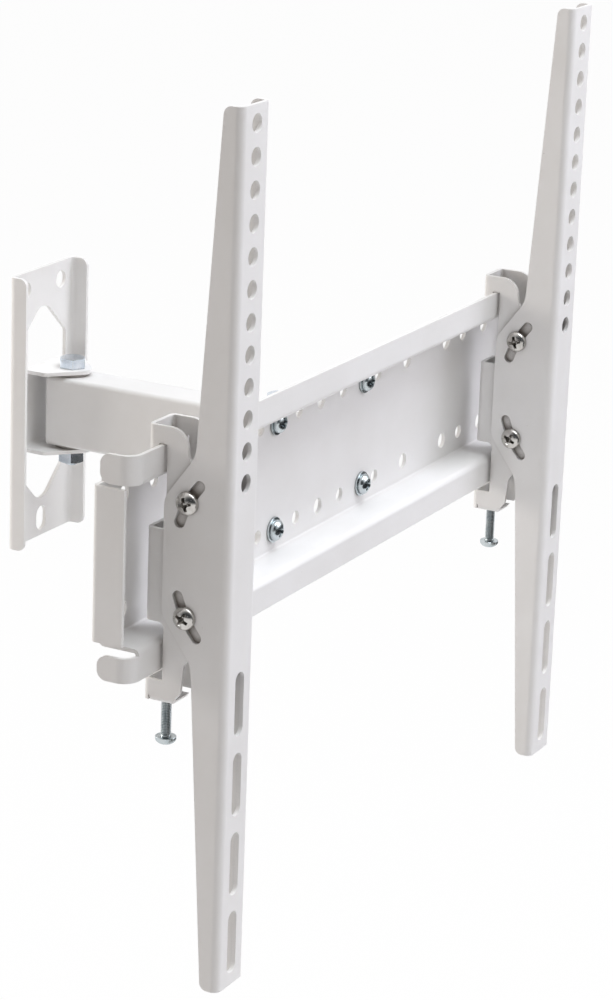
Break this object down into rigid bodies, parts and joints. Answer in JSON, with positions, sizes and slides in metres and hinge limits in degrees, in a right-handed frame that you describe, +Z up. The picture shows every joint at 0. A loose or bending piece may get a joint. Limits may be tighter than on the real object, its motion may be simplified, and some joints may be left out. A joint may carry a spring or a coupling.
{
  "type": "tv wall mount",
  "caption": "Wall mount for a flat screen: folded wall bracket, tube arm with swivels, hat-section crossbar, and slotted rails that hook on, slide and tilt.",
  "frame": {"origin": "centre of the wall bracket's back face", "axes": "+Z up, +X along the crossbar, -Y away from the wall towards the screen"},
  "size_m": [0.438, 0.2255, 0.422],
  "materials": {
    "white_coat": "satin powder coat",
    "zinc_plate": "bright blue-white zinc plating",
    "nickel_plate": "bright nickel plating",
    "cap_plastic": "moulded plastic",
    "bush_plastic": "moulded nylon"
  },
  "bodies": {
    "wall": {"wall_bracket": "white_coat", "wall_pivot_bolt": "zinc_plate", "wall_pivot_nut": "zinc_plate"},
    "arm": {"arm_tube": "white_coat", "arm_end_caps": "cap_plastic", "wall_pivot_bushes": "bush_plastic", "head_pivot_bushes": "bush_plastic"},
    "head": {"head_bracket": "white_coat", "head_pivot_bolt": "zinc_plate", "head_pivot_nut": "zinc_plate", "crossbar": "white_coat", "crossbar_screws": "zinc_plate", "crossbar_washers": "zinc_plate", "crossbar_nuts": "zinc_plate"},
    "left_hook": {"left_hook_bracket": "white_coat", "left_tilt_screws": "nickel_plate", "left_tilt_nuts": "nickel_plate"},
    "left_screen_rail": {"left_rail": "white_coat"},
    "left_lock": {"left_lock_screw": "zinc_plate"},
    "right_hook": {"right_hook_bracket": "white_coat", "right_tilt_screws": "nickel_plate", "right_tilt_nuts": "nickel_plate"},
    "right_screen_rail": {"right_rail": "white_coat"},
    "right_lock": {"right_lock_screw": "zinc_plate"}
  },
  "joints": [
    {"name": "wall_swivel", "type": "hinge", "parent": "wall", "child": "arm", "pos_m": [0, -0.0205, 0], "axis": [0, 0, 1], "range_deg": [-80, 80]},
    {"name": "head_swivel", "type": "hinge", "parent": "arm", "child": "head", "pos_m": [0, -0.145, 0], "axis": [0, 0, 1], "range_deg": [-80, 80]},
    {"name": "left_slide", "type": "slide", "parent": "head", "child": "left_hook", "axis": [1, 0, 0], "range_m": [-0.0185, 0.1315]},
    {"name": "left_tilt", "type": "hinge", "parent": "left_hook", "child": "left_screen_rail", "pos_m": [0, -0.2535, 0.002], "axis": [1, 0, 0], "range_deg": [-10, 10]},
    {"name": "left_lock_travel", "type": "slide", "parent": "left_hook", "child": "left_lock", "axis": [0, 0, 1], "range_m": [0, 0.0107]},
    {"name": "right_slide", "type": "slide", "parent": "head", "child": "right_hook", "axis": [1, 0, 0], "range_m": [-0.1272, 0.0228]},
    {"name": "right_tilt", "type": "hinge", "parent": "right_hook", "child": "right_screen_rail", "pos_m": [0, -0.2535, 0.002], "axis": [1, 0, 0], "range_deg": [-10, 10]},
    {"name": "right_lock_travel", "type": "slide", "parent": "right_hook", "child": "right_lock", "axis": [0, 0, 1], "range_m": [0, 0.0107]}
  ]
}
